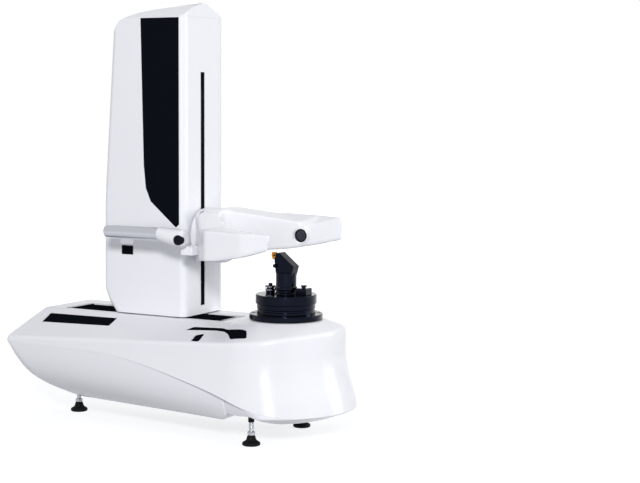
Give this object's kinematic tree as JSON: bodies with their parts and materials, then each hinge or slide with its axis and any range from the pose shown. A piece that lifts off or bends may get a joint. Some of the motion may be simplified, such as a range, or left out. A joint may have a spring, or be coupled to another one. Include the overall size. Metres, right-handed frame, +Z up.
{
  "type": "tool presetter",
  "caption": "Bench machine that measures cutting tools: a tower slides along a low white base and carries a camera fork over a turning spindle.",
  "frame": {"origin": "on the floor plane under the middle of the outer box", "axes": "+X from the tower towards the spindle, +Y towards the rear, +Z up; the user stands on the -Y side"},
  "size_m": [0.746, 0.3332, 0.886],
  "materials": {
    "gloss_white": "white gloss paint on moulded covers",
    "gloss_black": "gloss black film",
    "satin_black": "satin black plastic",
    "cast_grey": "grey enamel on cast iron",
    "ground_steel": "ground steel",
    "black_steel": "black oxide steel",
    "bright_steel": "polished hardened steel",
    "satin_aluminium": "silver anodised aluminium",
    "zinc": "zinc-plated steel",
    "rubber": "dark moulded rubber",
    "gold_carbide": "gold coated carbide",
    "lens_glass": "coated window glass"
  },
  "bodies": {
    "base": {"base_bed": "cast_grey", "base_cover": "gloss_white", "base_pan": "gloss_white", "nose_pan": "gloss_white", "name_plate": "gloss_black", "control_inlay": "gloss_black", "x_rails": "ground_steel", "x_scale": "ground_steel", "way_band": "black_steel", "band_clamps": "black_steel", "band_screws": "black_steel", "base_spacers": "satin_aluminium", "foot_pads": "rubber", "foot_studs": "zinc", "foot_collars": "satin_black", "socket_panel": "satin_aluminium", "rear_sockets": "satin_black", "spindle_housing": "cast_grey", "spindle_bearings": "bright_steel"},
    "spindle": {"spindle_rotor": "black_steel", "spindle_screws": "bright_steel", "adapter": "black_steel", "clamp_block": "black_steel"},
    "tool": {"tool_holder": "black_steel", "tool_insert": "gold_carbide"},
    "column": {"column_cover": "gloss_white", "column_rear_cover": "gloss_white", "column_cap": "gloss_white", "stripe_panel": "gloss_black", "slot_lips": "satin_black", "switch_bezel": "satin_black", "label_plate": "satin_aluminium", "x_runners": "ground_steel", "column_saddle": "ground_steel", "x_read_head": "satin_black", "column_frame": "cast_grey", "frame_spacers": "satin_aluminium", "column_shafts": "bright_steel", "belt_wrap": "black_steel", "belt_carriage_run": "black_steel", "belt_weight_run": "black_steel", "z_rail": "ground_steel", "z_scale": "ground_steel"},
    "rocker": {"switch_rocker": "gloss_black"},
    "pulley": {"belt_pulley": "satin_aluminium"},
    "weight": {"counterweight": "cast_grey"},
    "optics": {"z_runners": "ground_steel", "carriage_plate": "satin_aluminium", "z_read_head": "satin_black", "yoke_casting": "gloss_white", "camera_housing": "gloss_white", "light_housing": "gloss_white", "optic_windows": "lens_glass", "camera_module": "satin_black", "light_module": "satin_black", "grip_bar": "satin_aluminium", "grip_head": "gloss_white", "button_ring": "satin_black", "grip_bracket": "gloss_white"},
    "button": {"thumb_button": "satin_aluminium"}
  },
  "joints": [
    {"name": "column_slide", "type": "slide", "parent": "base", "child": "column", "axis": [1, 0, 0], "range_m": [-0.17, 0.035]},
    {"name": "optics_slide", "type": "slide", "parent": "column", "child": "optics", "axis": [0, 0, 1], "range_m": [-0.1, 0.3], "deforming": ["belt_carriage_run"]},
    {"name": "weight_slide", "type": "slide", "parent": "column", "child": "weight", "axis": [0, 0, 1], "range_m": [-0.3, 0.1], "deforming": ["belt_weight_run"]},
    {"name": "pulley_spin", "type": "hinge", "parent": "column", "child": "pulley", "pos_m": [-0.0715, 0.016, 0.805], "axis": [0, 1, 0], "range_deg": [-400, 140]},
    {"name": "spindle_turn", "type": "hinge", "parent": "base", "child": "spindle", "pos_m": [0.2285, 0, 0.25], "axis": [0, 0, 1], "continuous": true},
    {"name": "tool_lift", "type": "slide", "parent": "spindle", "child": "tool", "axis": [0, 0, 1], "range_m": [0, 0.06]},
    {"name": "thumb_press", "type": "slide", "parent": "optics", "child": "button", "axis": [0, 1, 0], "range_m": [0, 0.0015], "stiffness_N_per_m": 400, "springref_m": -0.001},
    {"name": "mode_rock", "type": "hinge", "parent": "column", "child": "rocker", "pos_m": [-0.127, -0.049, 0.3705], "axis": [0, 0, 1], "range_deg": [0, 14]}
  ],
  "couplings": [
    {"joint": "weight_slide", "follows": "optics_slide", "ratio": -1},
    {"joint": "pulley_spin", "follows": "optics_slide", "rad_per_m": -22.883}
  ]
}
